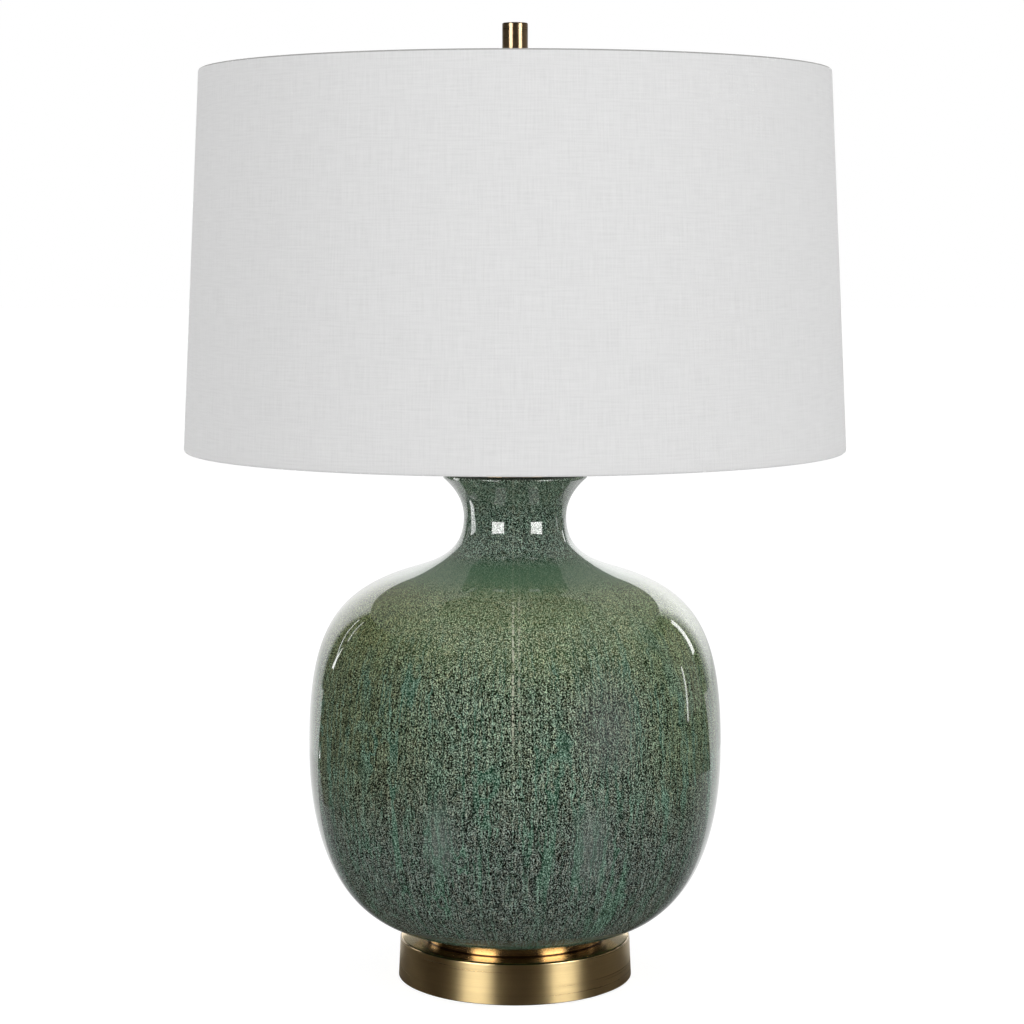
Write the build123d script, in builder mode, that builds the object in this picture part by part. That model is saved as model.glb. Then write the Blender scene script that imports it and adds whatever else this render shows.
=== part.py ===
from build123d import *
import os
from math import atan2, cos, radians, sin, tan

os.makedirs("parts", exist_ok=True)

# A table lamp: a glazed ceramic body on a turned brass base, with a linen drum shade on a harp.
# Millimetres. +Z is up, the table is at Z = 0, the lamp's axis is Z and its front faces -Y.

# Fits
seat_gap = 0.3           # between pieces that are glued, laid in or hung
running_gap = 0.05       # between a shaft and its bore
thread_gap = 0.1         # between a screw and its thread

# Base
plinth_radius = 82.3     # at the bottom rim
plinth_draft = 1.3       # the top is this much smaller in radius
plinth_height = 28.2
plinth_wall = 1.6
plinth_round = 1.5
felt_thickness = 2.5
felt_stand = 1.0         # the felt stands this far below the plinth's rim
cover_thickness = 2.0
weight_radius = 62.0
nut_flats = 14.3
nut_height = 3.6
nut_room = 0.5           # between the nut and the bottom cover
lock_washer_radius = 8.5
lock_washer_thickness = 1.2
lock_washer_slit = 1.5
flat_washer_radius = 14.0
flat_washer_thickness = 1.5
rod_radius = 4.85
rod_bore = 3.1
rod_clearance = 0.3
bushing_bore = 3.5
bushing_wall = 2.4
bushing_flange = 2.2     # the flange stands this far out around the barrel
bushing_flange_thickness = 2.0
bushing_reach = 4.0      # how far the barrel reaches in behind the plinth's wall
collar_radius = 65.0
collar_height = 6.0
collar_wall = 1.5
collar_round = 0.8
gasket_thickness = 1.0
gasket_inset = 1.5       # from the collar's edge
gasket_width = 11.5

# Ceramic body: stations of its outline from the foot up, and the pull of each curve between them
foot_radius = 66.0
foot_slope = 4.3         # degrees above level
belly_radius = 144.4
belly_rise = 125.7       # above the foot
shoulder_radius = 80.0   # where the shoulder turns into the neck
shoulder_rise = 124.8    # above the belly
shoulder_slope = 17.9    # degrees above level
waist_radius = 35.7
waist_rise = 39.5        # above the shoulder
lip_radius = 49.5
lip_rise = 26.8          # above the waist
lip_flare = 48.9         # degrees out from upright
foot_pull = 0.515
belly_pull_down = 0.153
belly_pull_up = 0.533
shoulder_pull_down = 0.389
shoulder_pull_up = 0.410
waist_pull_down = 0.456
waist_pull_up = 0.399
lip_pull = 0.288
ceramic_wall = 5.0
rim_round = 2.5
rim_land = 2.5           # flat land on the rim that the cap sits on

# Cap on the ceramic body, neck and harp saddle
cap_sheet = 1.5
cap_rise = 5.0
cap_boss_radius = 15.0
cap_flange = 9.0
spigot_depth = 5.0
neck_radius = 9.0
neck_height = 16.5
saddle_width = 14.0
saddle_thickness = 2.0
saddle_flat = 13.0       # half length of the flat middle
wing_rise = 5.0
wing_run = 7.0
wing_margin = 5.0        # wing beyond the harp's leg

# Harp
harp_height = 241.3      # from the saddle to the seat under the shade
harp_wire_radius = 1.8
harp_leg = 26.0          # legs stand this far from the axis at the saddle
harp_bow = 58.0          # and this far out beside the bulb
harp_crown = 26.0        # half length of the level top
harp_flare_height = 30.0
harp_crown_drop = 45.0
harp_leg_bend = 30.0
harp_crown_bend = 40.0
post_height = 6.0
sleeve_height = 12.0
sleeve_wall = 1.4
sleeve_travel = 14.0
leg_spare = 3.0          # straight leg left above a raised sleeve
seat_radius = 8.0
seat_thickness = 2.5
stud_boss_radius = 5.0
stud_boss_height = 7.0
stud_radius = 3.175
stud_end_gap = 2.0       # between the stud's end and the bottom of the finial's thread

# Socket and switch
socket_hub_radius = 9.5
socket_hub_height = 2.0
socket_floor = 3.0
socket_cap_height = 18.0
socket_cap_wall = 1.0
socket_ledge_height = 12.0
socket_ledge = 3.6       # width of the ledge inside the cap
rod_stand = 8.0          # the rod's end above the saddle
shell_radius = 16.0
shell_wall = 0.8
shell_height = 50.0
liner_wall = 0.8
liner_inset = 1.0        # the liner ends this far below the shell's rim
interior_height = 20.0
screw_shell_height = 28.0
screw_shell_wall = 0.4
contact_radius = 4.0
contact_sheet = 0.6
contact_stand = 3.5      # the spring contact's top above the interior
contact_tongue = 2.2
terminal_flat = 9.5      # flats for the terminal screws, from the axis
terminal_head_radius = 3.0
terminal_head_height = 1.6
terminal_shank_radius = 1.6
terminal_shank_length = 4.5
knob_shaft_radius = 2.4
knob_shaft_end = 4.0     # the shaft's inner end, from the lamp's axis
knob_hole_margin = 1.8   # the shell's hole is this much larger than the shaft
knob_radius = 5.6
knob_length = 13.0
knob_stand = 4.0         # between the shell and the knob
knob_flutes = 12
knob_flute_radius = 0.8

# Bulb
bulb_neck_radius = 13.0
bulb_radius = 30.0
bulb_swell = 47.0        # from the neck's top edge up to the widest part
bulb_neck_pull = 0.42
bulb_swell_pull = 0.46
bulb_glass = 0.8
bulb_neck_depth = 6.0    # glass inside the cap
bulb_cap_height = 25.0
bulb_cap_sheet = 0.4
bulb_thread_depth = 0.7
bulb_thread_pitch = 3.63
bulb_thread_turns = 5
bulb_skirt = 5.0         # plain band above the thread
bulb_insulator_height = 3.2
bulb_insulator_radius = 8.5
bulb_tip_radius = 4.5
bulb_tip_height = 0.8
bulb_lead = 4.1          # the tip stands this far above the interior

# Shade
shade_bottom_radius = 228.6
shade_taper = 12.7       # the top is this much smaller in radius
shade_height = 259.0
spider_drop = 5.2        # from the shade's top rim down to the hub's top
linen_thickness = 0.7
liner_thickness = 0.9
hem_thickness = 0.7
hem_width = 14.0
hem_ramp = 3.0
ring_wire_radius = 1.6
hub_radius = 11.0
hub_thickness = 5.0
hub_clearance = 0.25
arm_radius = 1.6
arm_socket = 5.0
arm_angles = (90, 210, 330)

# Finial
finial_radius = 8.75
finial_height = 38.1
finial_thread_depth = 14.0
finial_round = 0.8


def save(piece, label):
    """Name a finished piece and write it."""
    piece.part.label = label
    export_step(piece.part, f"parts/{label}.step")


def ring(outer, inner, bottom, top):
    """A plain ring about the lamp's axis."""
    with BuildPart() as piece:
        with BuildSketch(Plane.XY.offset(bottom)):
            Circle(outer)
            Circle(inner, mode=Mode.SUBTRACT)
        extrude(amount=top - bottom)
    return piece


def section(*corners):
    """The half section of a turned piece, from its (radius, height) corners."""
    with BuildSketch(Plane.XZ) as half:
        with BuildLine():
            Polyline(*corners, close=True)
        make_face()
    return half.sketch


def turned(*corners):
    """A piece turned about the lamp's axis from the corners of its half section."""
    with BuildPart() as piece:
        revolve(section(*corners), axis=Axis.Z)
    return piece


def swell(start, start_way, start_pull, end, end_way, end_pull):
    """Draw one smooth curve of an outline. Each pull is a share of the distance between its ends."""
    span = (end - start).length
    Bezier(start, start + start_way * (start_pull * span), end - end_way * (end_pull * span), end)


# Base, from the table up
plinth_bottom = felt_stand
plinth_top = plinth_bottom + plinth_height
plinth_ceiling = plinth_top - plinth_wall
cover_top = felt_thickness + cover_thickness
rod_hole = rod_radius + rod_clearance


def plinth_wall_at(height):
    """Outer radius of the plinth at a height above the table."""
    return plinth_radius - plinth_draft * (height - plinth_bottom) / plinth_height


cover_radius = plinth_wall_at(cover_top) - plinth_wall - seat_gap

with BuildPart() as felt_pad:
    Cylinder(cover_radius, felt_thickness, align=(Align.CENTER, Align.CENTER, Align.MIN))
save(felt_pad, "felt_pad")

with BuildPart() as bottom_cover:
    with BuildSketch(Plane.XY.offset(felt_thickness)):
        Circle(cover_radius)
    extrude(amount=cover_thickness)
save(bottom_cover, "bottom_cover")

# The cord's bushing sits in the plinth's rear wall, half way between the cover and the ceiling.
bushing_radius = bushing_bore + bushing_wall
bushing_axis = (cover_top + plinth_ceiling) / 2
bushing_inner_end = plinth_wall_at(bushing_axis) - plinth_wall - bushing_reach
rear = Plane(origin=(0, 0, bushing_axis), x_dir=(1, 0, 0), z_dir=(0, 1, 0))

plinth_section = section(
    (rod_hole, plinth_top),
    (plinth_wall_at(plinth_top), plinth_top),
    (plinth_radius, plinth_bottom),
    (plinth_radius - plinth_wall, plinth_bottom),
    (plinth_wall_at(plinth_ceiling) - plinth_wall, plinth_ceiling),
    (rod_hole, plinth_ceiling),
)
with BuildPart() as base_plinth:
    revolve(plinth_section, axis=Axis.Z)
    rim = base_plinth.edges().group_by(Axis.Z)[-1].sort_by(SortBy.RADIUS)[-1]
    fillet(rim, radius=plinth_round)
    with BuildSketch(rear.offset(bushing_inner_end)):
        Circle(bushing_radius + thread_gap)
    extrude(amount=plinth_radius - bushing_inner_end, mode=Mode.SUBTRACT)
save(base_plinth, "base_plinth")

with BuildPart() as cord_bushing:
    with BuildSketch(rear.offset(bushing_inner_end)):
        Circle(bushing_radius)
    extrude(amount=plinth_radius - bushing_inner_end)
    with BuildSketch(rear.offset(plinth_radius)):
        Circle(bushing_radius + bushing_flange)
    extrude(amount=bushing_flange_thickness)
    outer_rim = cord_bushing.edges().group_by(Axis.Y)[-1].sort_by(SortBy.RADIUS)[-1]
    fillet(outer_rim, radius=bushing_flange_thickness / 2)
    with BuildSketch(rear.offset(bushing_inner_end)):
        Circle(bushing_bore)
    extrude(amount=plinth_radius + bushing_flange_thickness - bushing_inner_end, mode=Mode.SUBTRACT)
save(cord_bushing, "cord_bushing")

# The weight fills the room between the plinth's ceiling and the nut that clamps the lamp together.
nut_bottom = cover_top + nut_room
nut_top = nut_bottom + nut_height
lock_washer_top = nut_top + lock_washer_thickness
weight_bottom = lock_washer_top + flat_washer_thickness

save(ring(weight_radius, rod_hole, weight_bottom, plinth_ceiling), "base_weight")
save(ring(flat_washer_radius, rod_hole, lock_washer_top, weight_bottom), "flat_washer")

with BuildPart() as lock_washer:
    with BuildSketch(Plane.XY.offset(nut_top)):
        Circle(lock_washer_radius)
        Circle(rod_hole, mode=Mode.SUBTRACT)
        with Locations((lock_washer_radius, 0)):
            Rectangle(2 * (lock_washer_radius - rod_radius), lock_washer_slit, mode=Mode.SUBTRACT)
    extrude(amount=lock_washer_thickness)
save(lock_washer, "lock_washer")

with BuildPart() as hex_nut:
    with BuildSketch(Plane.XY.offset(nut_bottom)):
        RegularPolygon(nut_flats / 2, 6, major_radius=False)
        Circle(rod_radius + thread_gap, mode=Mode.SUBTRACT)
    extrude(amount=nut_height)
save(hex_nut, "hex_nut")

collar_top = plinth_top + collar_height
collar_section = section(
    (rod_hole, collar_top),
    (collar_radius, collar_top),
    (collar_radius, plinth_top),
    (collar_radius - collar_wall, plinth_top),
    (collar_radius - collar_wall, collar_top - collar_wall),
    (rod_hole, collar_top - collar_wall),
)
with BuildPart() as base_collar:
    revolve(collar_section, axis=Axis.Z)
    rim = base_collar.edges().group_by(Axis.Z)[-1].sort_by(SortBy.RADIUS)[-1]
    fillet(rim, radius=collar_round)
save(base_collar, "base_collar")

foot_height = collar_top + gasket_thickness
gasket_radius = collar_radius - gasket_inset
save(ring(gasket_radius, gasket_radius - gasket_width, collar_top, foot_height), "foot_gasket")

# Ceramic body: its outline runs up the outside, over the rim and back down inside the wall.
up = Vector(0, 1)
foot = Vector(foot_radius, foot_height)
foot_way = Vector(cos(radians(foot_slope)), sin(radians(foot_slope)))
belly = Vector(belly_radius, foot_height + belly_rise)
shoulder = Vector(shoulder_radius, belly.Y + shoulder_rise)
shoulder_way = Vector(-cos(radians(shoulder_slope)), sin(radians(shoulder_slope)))
waist = Vector(waist_radius, shoulder.Y + waist_rise)
lip = Vector(lip_radius, waist.Y + lip_rise)
lip_way = Vector(sin(radians(lip_flare)), cos(radians(lip_flare)))


def inside(station, way):
    """The point of the inner wall that faces an outline station whose outline runs along way."""
    return station + Vector(-way.Y, way.X) * ceramic_wall


rim_center = lip + Vector(-lip_way.Y, lip_way.X) * rim_round
rim_top = rim_center.Y + rim_round
rim_outer = Vector(rim_center.X, rim_top)
rim_inner = Vector(rim_center.X - rim_land, rim_top)
mouth = rim_inner - Vector(rim_round, rim_round)
rim_bulge = radians(45 - lip_flare / 2)
bore_end = Vector(mouth.X, rim_top - spigot_depth - seat_gap)
floor_edge = inside(foot, foot_way)

with BuildPart() as ceramic_body:
    with BuildSketch(Plane.XZ):
        with BuildLine():
            swell(foot, foot_way, foot_pull, belly, up, belly_pull_down)
            swell(belly, up, belly_pull_up, shoulder, shoulder_way, shoulder_pull_down)
            swell(shoulder, shoulder_way, shoulder_pull_up, waist, up, waist_pull_down)
            swell(waist, up, waist_pull_up, lip, lip_way, lip_pull)
            ThreePointArc(lip, rim_center + Vector(cos(rim_bulge), sin(rim_bulge)) * rim_round, rim_outer)
            Line(rim_outer, rim_inner)
            RadiusArc(rim_inner, mouth, -rim_round)
            Line(mouth, bore_end)
            swell(bore_end, -up, lip_pull, inside(waist, up), -up, waist_pull_up)
            swell(inside(waist, up), -up, waist_pull_down,
                  inside(shoulder, shoulder_way), -shoulder_way, shoulder_pull_up)
            swell(inside(shoulder, shoulder_way), -shoulder_way, shoulder_pull_down,
                  inside(belly, up), -up, belly_pull_up)
            swell(inside(belly, up), -up, belly_pull_down, floor_edge, -foot_way, foot_pull)
            Polyline(floor_edge, (rod_hole, floor_edge.Y), (rod_hole, foot_height), foot)
        make_face()
    revolve(axis=Axis.Z)
save(ceramic_body, "ceramic_body")

# Cap on the rim, neck and harp saddle
cap_radius = rim_center.X
cap_top = rim_top + cap_rise
spigot_radius = mouth.X - seat_gap
vase_cap = turned(
    (rod_hole, cap_top),
    (cap_boss_radius, cap_top),
    (cap_radius - cap_flange, rim_top + cap_sheet),
    (cap_radius, rim_top + cap_sheet),
    (cap_radius, rim_top),
    (spigot_radius, rim_top),
    (spigot_radius, rim_top - spigot_depth),
    (spigot_radius - cap_sheet, rim_top - spigot_depth),
    (spigot_radius - cap_sheet, rim_top),
    (cap_radius - cap_flange, rim_top),
    (cap_boss_radius, cap_top - cap_sheet),
    (rod_hole, cap_top - cap_sheet),
)
save(vase_cap, "vase_cap")

saddle_bottom = cap_top + neck_height
saddle_top = saddle_bottom + saddle_thickness
save(ring(neck_radius, rod_hole, cap_top, saddle_bottom), "neck_tube")

wing_start = saddle_flat + wing_run
wing_end = harp_leg + wing_margin
wing_top = saddle_top + wing_rise
post_top = wing_top + post_height
with BuildPart() as harp_saddle:
    with BuildSketch(Plane.XZ):
        with BuildLine():
            Polyline(
                (0, saddle_bottom),
                (saddle_flat, saddle_bottom),
                (wing_start, wing_top - saddle_thickness),
                (wing_end, wing_top - saddle_thickness),
                (wing_end, wing_top),
                (wing_start, wing_top),
                (saddle_flat, saddle_top),
                (0, saddle_top),
                close=True,
            )
        make_face()
        mirror(about=Plane.YZ)
    extrude(amount=saddle_width / 2, both=True)
    with BuildSketch(Plane.XY.offset(wing_top)):
        with Locations((harp_leg, 0), (-harp_leg, 0)):
            Circle(harp_wire_radius)
    extrude(amount=post_height)
    with BuildSketch(Plane.XY.offset(saddle_bottom)):
        Circle(rod_hole)
    extrude(amount=saddle_thickness, mode=Mode.SUBTRACT)
save(harp_saddle, "harp_saddle")

rod_top = saddle_top + rod_stand
save(ring(rod_radius, rod_bore, nut_bottom, rod_top), "threaded_rod")

# Harp: a wire loop whose feet stand on the saddle's posts, held there by two sleeves
seat_top = saddle_top + harp_height
seat_bottom = seat_top - seat_thickness
wire_top = seat_bottom - stud_boss_height / 2
straight_leg = sleeve_height + sleeve_travel + leg_spare
flare_angle = atan2(harp_bow - harp_leg, harp_flare_height)
leg_corner = wing_top + straight_leg + harp_leg_bend * tan(flare_angle / 2)
right_half = [
    (harp_crown, wire_top),
    (harp_bow, wire_top - harp_crown_drop),
    (harp_bow, leg_corner + harp_flare_height),
    (harp_leg, leg_corner),
    (harp_leg, post_top),
]
left_half = [(-x, z) for x, z in reversed(right_half)]
with BuildPart() as harp_wire:
    with BuildLine(Plane.XZ) as harp_path:
        FilletPolyline(
            *left_half,
            *right_half,
            radius=[harp_leg_bend, harp_leg_bend] + [harp_crown_bend] * 4 + [harp_leg_bend, harp_leg_bend],
        )
    with BuildSketch(Plane(origin=harp_path.line @ 0, z_dir=harp_path.line % 0)):
        Circle(harp_wire_radius)
    sweep()
save(harp_wire, "harp_wire")

for side, name in ((-1, "harp_sleeve_left"), (1, "harp_sleeve_right")):
    with BuildPart() as sleeve:
        with BuildSketch(Plane((side * harp_leg, 0, wing_top + running_gap))):
            Circle(harp_wire_radius + running_gap + sleeve_wall)
            Circle(harp_wire_radius + running_gap, mode=Mode.SUBTRACT)
        extrude(amount=sleeve_height)
    save(sleeve, name)

hub_bottom = seat_top + running_gap
hub_top = hub_bottom + hub_thickness
finial_bottom = hub_top + running_gap
stud_top = finial_bottom + finial_thread_depth - stud_end_gap
stud_section = section(
    (0, seat_bottom - stud_boss_height),
    (stud_boss_radius, seat_bottom - stud_boss_height),
    (stud_boss_radius, seat_bottom),
    (seat_radius, seat_bottom),
    (seat_radius, seat_top),
    (stud_radius, seat_top),
    (stud_radius, stud_top),
    (0, stud_top),
)
with BuildPart() as harp_stud:
    revolve(stud_section, axis=Axis.Z)
    with BuildSketch(Plane.YZ.offset(-stud_boss_radius)):
        with Locations((0, wire_top)):
            Circle(harp_wire_radius + running_gap)
    extrude(amount=2 * stud_boss_radius, mode=Mode.SUBTRACT)
save(harp_stud, "harp_stud")

# Socket: a cap on the rod, with a shell, a liner and the switch body standing on the cap's ledge
ledge = saddle_top + socket_ledge_height
cap_bore = shell_radius + thread_gap
socket_cap = turned(
    (rod_radius + thread_gap, saddle_top),
    (socket_hub_radius, saddle_top),
    (socket_hub_radius, saddle_top + socket_hub_height),
    (cap_bore + socket_cap_wall, ledge),
    (cap_bore + socket_cap_wall, saddle_top + socket_cap_height),
    (cap_bore, saddle_top + socket_cap_height),
    (cap_bore, ledge),
    (cap_bore - socket_ledge, ledge),
    (socket_hub_radius - socket_cap_wall, saddle_top + socket_floor),
    (rod_radius + thread_gap, saddle_top + socket_floor),
)
save(socket_cap, "socket_cap")

shell_top = ledge + shell_height
liner_radius = shell_radius - shell_wall - thread_gap
interior_radius = liner_radius - liner_wall - seat_gap
interior_top = ledge + interior_height
knob_axis = ledge + interior_height / 2
front = Plane(origin=(0, 0, knob_axis), x_dir=(1, 0, 0), z_dir=(0, -1, 0))


def socket_sleeve(outer, wall, top):
    """A tube around the switch body, with a hole in front for the switch's shaft."""
    with BuildPart() as tube:
        with BuildSketch(Plane.XY.offset(ledge)):
            Circle(outer)
            Circle(outer - wall, mode=Mode.SUBTRACT)
        extrude(amount=top - ledge)
        with BuildSketch(front):
            Circle(knob_shaft_radius + knob_hole_margin)
        extrude(amount=outer, mode=Mode.SUBTRACT)
    return tube


save(socket_sleeve(shell_radius, shell_wall, shell_top), "socket_shell")
save(socket_sleeve(liner_radius, liner_wall, shell_top - liner_inset), "socket_liner")

with BuildPart() as socket_interior:
    with BuildSketch(Plane.XY.offset(ledge)):
        Circle(interior_radius)
    extrude(amount=interior_height)
    with BuildSketch(front.offset(knob_shaft_end - running_gap)):
        Circle(knob_shaft_radius + running_gap)
    extrude(amount=interior_radius, mode=Mode.SUBTRACT)
    for side in (-1, 1):
        terminal = Plane(origin=(side * terminal_flat, 0, knob_axis), z_dir=(side, 0, 0))
        with BuildSketch(terminal):
            Circle(terminal_head_radius + seat_gap)
        extrude(amount=interior_radius, mode=Mode.SUBTRACT)
        with BuildSketch(terminal):
            Circle(terminal_shank_radius + running_gap)
        extrude(amount=-terminal_shank_length - running_gap, mode=Mode.SUBTRACT)
save(socket_interior, "socket_interior")

with BuildPart() as terminal_screws:
    for side in (-1, 1):
        terminal = Plane(origin=(side * terminal_flat, 0, knob_axis), z_dir=(side, 0, 0))
        with BuildSketch(terminal):
            Circle(terminal_head_radius)
        extrude(amount=terminal_head_height)
        with BuildSketch(terminal):
            Circle(terminal_shank_radius)
        extrude(amount=-terminal_shank_length)
save(terminal_screws, "terminal_screws")

screw_shell_radius = interior_radius
screw_bore = screw_shell_radius - screw_shell_wall
screw_shell = turned(
    (contact_radius + contact_tongue, interior_top),
    (screw_shell_radius, interior_top),
    (screw_shell_radius, interior_top + screw_shell_height),
    (screw_bore, interior_top + screw_shell_height),
    (screw_bore, interior_top + screw_shell_wall),
    (contact_radius + contact_tongue, interior_top + screw_shell_wall),
)
save(screw_shell, "screw_shell")

# The spring contact is a strip bent up from a round foot.
with BuildPart() as center_contact:
    with BuildSketch(Plane.XY.offset(interior_top)):
        Circle(contact_radius)
    extrude(amount=contact_sheet)
    with BuildSketch(Plane.XZ):
        with BuildLine():
            Polyline(
                (contact_radius / 2, interior_top + contact_sheet),
                (contact_radius / 2, interior_top + contact_stand),
                (-contact_radius / 2, interior_top + contact_stand),
                (-contact_radius / 2, interior_top + contact_stand - contact_sheet),
                (contact_radius / 2 - contact_sheet, interior_top + contact_stand - contact_sheet),
                (contact_radius / 2 - contact_sheet, interior_top + contact_sheet),
                close=True,
            )
        make_face()
    extrude(amount=contact_tongue / 2, both=True)
save(center_contact, "center_contact")

knob_face = shell_radius + knob_stand
with BuildPart() as switch_knob:
    with BuildSketch(front.offset(knob_shaft_end)):
        Circle(knob_shaft_radius)
    extrude(amount=knob_face - knob_shaft_end)
    with BuildSketch(front.offset(knob_face)):
        Circle(knob_radius)
        with PolarLocations(knob_radius, knob_flutes):
            Circle(knob_flute_radius, mode=Mode.SUBTRACT)
    extrude(amount=knob_length)
save(switch_knob, "switch_knob")

# Bulb: a glass globe in a ridged screw cap with an insulated tip
tip_bottom = interior_top + bulb_lead
insulator_bottom = tip_bottom + bulb_tip_height
bulb_cap_bottom = insulator_bottom + bulb_insulator_height
bulb_cap_top = bulb_cap_bottom + bulb_cap_height
thread_radius = screw_bore - seat_gap
thread_root = thread_radius - bulb_thread_depth
thread_top = bulb_cap_top - bulb_skirt
thread_start = thread_top - bulb_thread_turns * bulb_thread_pitch
ridges = []
for turn in range(bulb_thread_turns):
    ridge_bottom = thread_start + turn * bulb_thread_pitch
    ridges.append((thread_root, ridge_bottom))
    ridges.append((thread_radius, ridge_bottom + bulb_thread_pitch / 2))
bulb_cap = turned(
    (bulb_insulator_radius, bulb_cap_bottom),
    *ridges,
    (thread_root, thread_top),
    (thread_root, bulb_cap_top),
    (thread_root - bulb_cap_sheet, bulb_cap_top),
    (thread_root - bulb_cap_sheet, thread_start),
    (bulb_insulator_radius - bulb_cap_sheet, bulb_cap_bottom + bulb_cap_sheet),
)
save(bulb_cap, "bulb_cap")

bulb_contact = turned(
    (0, tip_bottom),
    (bulb_tip_radius, tip_bottom),
    (bulb_tip_radius, insulator_bottom),
    (bulb_insulator_radius - bulb_cap_sheet, bulb_cap_bottom),
    (bulb_insulator_radius - bulb_cap_sheet, bulb_cap_bottom + bulb_cap_sheet),
    (0, bulb_cap_bottom + bulb_cap_sheet),
)
save(bulb_contact, "bulb_contact")

glass_neck = thread_root - bulb_cap_sheet - seat_gap
neck_edge = Vector(bulb_neck_radius, bulb_cap_top + seat_gap)
widest = neck_edge + Vector(bulb_radius - bulb_neck_radius, bulb_swell)
crown = Vector(0, widest.Y + bulb_radius)
glass_in = Vector(-bulb_glass, 0)
bulb_round = sin(radians(45))
bulb_top_mid = Vector(bulb_radius * bulb_round, widest.Y + bulb_radius * bulb_round)
bulb_in = bulb_radius - bulb_glass
bulb_in_mid = Vector(bulb_in * bulb_round, widest.Y + bulb_in * bulb_round)
with BuildPart() as bulb_globe:
    with BuildSketch(Plane.XZ):
        with BuildLine():
            Polyline(
                (glass_neck - bulb_glass, neck_edge.Y),
                (glass_neck - bulb_glass, bulb_cap_top - bulb_neck_depth),
                (glass_neck, bulb_cap_top - bulb_neck_depth),
                (glass_neck, neck_edge.Y),
                neck_edge,
            )
            swell(neck_edge, up, bulb_neck_pull, widest, up, bulb_swell_pull)
            ThreePointArc(widest, bulb_top_mid, crown)
            Line(crown, crown - up * bulb_glass)
            ThreePointArc(crown - up * bulb_glass, bulb_in_mid, widest + glass_in)
            swell(widest + glass_in, -up, bulb_swell_pull,
                  Vector(glass_neck - bulb_glass, neck_edge.Y), -up, bulb_neck_pull)
        make_face()
    revolve(axis=Axis.Z)
save(bulb_globe, "bulb_globe")

# Shade: linen over a stiff liner, with a wire ring inside each rim and the linen's hem turned over it
shade_top = hub_top + spider_drop
shade_bottom = shade_top - shade_height
wall_thickness = linen_thickness + seat_gap + liner_thickness
hem_room = hem_thickness + seat_gap


def shade_wall_at(height):
    """Outer radius of the shade at a height above the table."""
    return shade_bottom_radius - shade_taper * (height - shade_bottom) / shade_height


def shade_skin(outset, thickness):
    """One layer of the shade's wall between the two hems, inset from the outer face."""
    low = shade_bottom + hem_room
    high = shade_top - hem_room
    return turned(
        (shade_wall_at(low) - outset, low),
        (shade_wall_at(high) - outset, high),
        (shade_wall_at(high) - outset - thickness, high),
        (shade_wall_at(low) - outset - thickness, low),
    )


def ring_center(rim, inward):
    """Centre of the wire inside a rim. Inward is -1 at the top rim and 1 at the bottom rim."""
    height = rim + inward * (hem_room + ring_wire_radius)
    inner_face = min(shade_wall_at(height - ring_wire_radius), shade_wall_at(height + ring_wire_radius))
    return Vector(inner_face - wall_thickness - seat_gap - ring_wire_radius, height)


def wire_ring(center, radius):
    """A round wire bent to a circle about the lamp's axis."""
    with BuildPart() as wire:
        with BuildSketch(Plane.XZ):
            with Locations(center):
                Circle(radius)
        revolve(axis=Axis.Z)
    return wire


def hem_section(rim, inward):
    """Half section of the linen turned over a rim, round the wire and back against the liner."""
    wire = ring_center(rim, inward)
    wire_side = wire.X - ring_wire_radius - seat_gap
    past_wire = wire.Y + inward * ring_wire_radius
    ramp_end = past_wire + inward * hem_ramp
    end = rim + inward * hem_width
    flat_face = shade_wall_at(ramp_end) - wall_thickness - seat_gap
    end_face = shade_wall_at(end) - wall_thickness - seat_gap
    return section(
        (shade_wall_at(rim), rim),
        (shade_wall_at(rim), rim + inward * hem_thickness),
        (wire_side, rim + inward * hem_thickness),
        (wire_side, past_wire),
        (flat_face, ramp_end),
        (end_face, end),
        (end_face - hem_thickness, end),
        (flat_face - hem_thickness, ramp_end),
        (wire_side - hem_thickness, past_wire),
        (wire_side - hem_thickness, rim),
    )


save(shade_skin(0, linen_thickness), "shade_linen")
save(shade_skin(linen_thickness + seat_gap, liner_thickness), "shade_liner")
save(wire_ring(ring_center(shade_top, -1), ring_wire_radius), "shade_top_ring")
save(wire_ring(ring_center(shade_bottom, 1), ring_wire_radius), "shade_bottom_ring")

with BuildPart() as shade_bottom_hem:
    revolve(hem_section(shade_bottom, 1), axis=Axis.Z)
save(shade_bottom_hem, "shade_bottom_hem")

# Spider: three arms from a drilled hub to the top ring
arm_end = ring_center(shade_top, -1)
arm_start = Vector(hub_radius - arm_socket, (hub_bottom + hub_top) / 2)
arm_run = arm_end - arm_start


def arm_plane(angle):
    """The plane at an arm's inner end, facing along the arm."""
    out = Vector(cos(radians(angle)), sin(radians(angle)), 0)
    return Plane(
        origin=out * arm_start.X + Vector(0, 0, arm_start.Y),
        z_dir=out * arm_run.X + Vector(0, 0, arm_run.Y),
    )


with BuildPart() as spider_hub:
    with BuildSketch(Plane.XY.offset(hub_bottom)):
        Circle(hub_radius)
        Circle(stud_radius + hub_clearance, mode=Mode.SUBTRACT)
    extrude(amount=hub_thickness)
    for angle in arm_angles:
        with BuildSketch(arm_plane(angle)):
            Circle(arm_radius + running_gap)
        extrude(amount=hub_radius, mode=Mode.SUBTRACT)
save(spider_hub, "spider_hub")

with BuildPart() as spider_arms:
    for angle in arm_angles:
        with BuildSketch(arm_plane(angle).offset(running_gap)):
            Circle(arm_radius)
        extrude(amount=arm_run.length)
    with BuildSketch(Plane.XZ):
        with Locations(arm_end):
            Circle(ring_wire_radius + running_gap)
    revolve(axis=Axis.Z, mode=Mode.SUBTRACT)
save(spider_arms, "spider_arms")

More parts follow.
